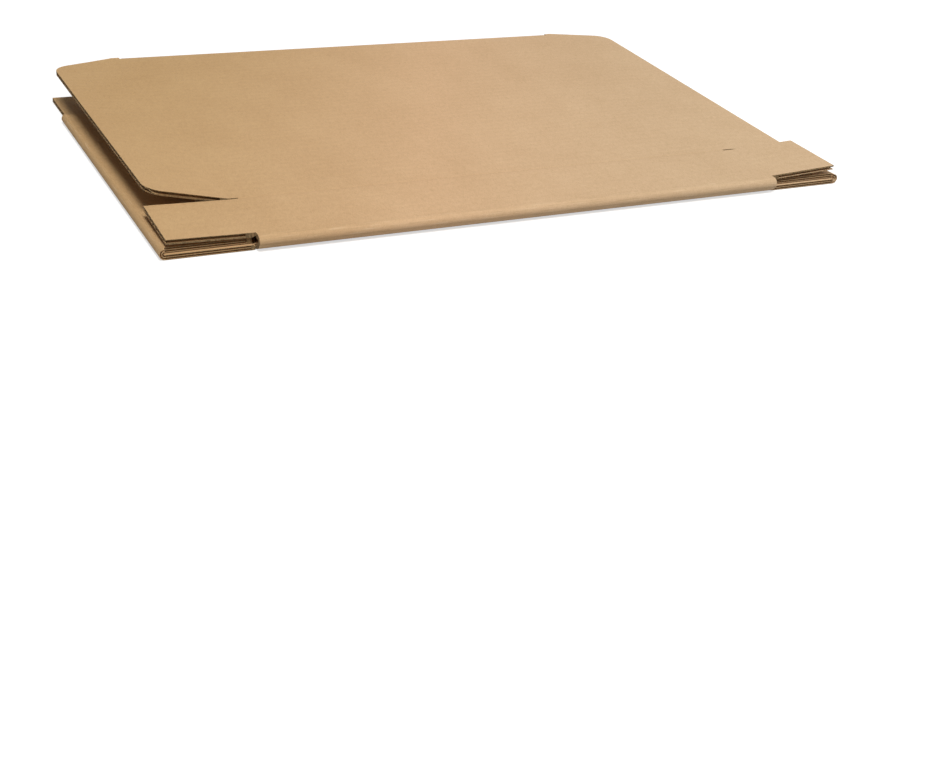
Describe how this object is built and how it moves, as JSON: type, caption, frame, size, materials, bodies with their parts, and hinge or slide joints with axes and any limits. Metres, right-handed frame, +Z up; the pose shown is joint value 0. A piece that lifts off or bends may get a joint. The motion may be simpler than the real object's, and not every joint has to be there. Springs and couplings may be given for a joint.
{
  "type": "flattened cardboard box",
  "caption": "Shallow roll-end mailer box as a flat die-cut sheet of corrugated board, lid and back wall folded over the base, with dust flaps, corner tabs and rolled side walls.",
  "frame": {"origin": "under the middle of the folded sheet's outline, on the surface that it lies on", "axes": "+X along the flutes, from the side with the sprung dust flap to the other; +Y from the long fold to the front wall's edge; +Z up"},
  "size_m": [0.4316, 0.306, 0.0262],
  "materials": {
    "board": "matt kraft paper"
  },
  "bodies": {
    "root": {"folded_blank": "board"}
  },
  "joints": []
}
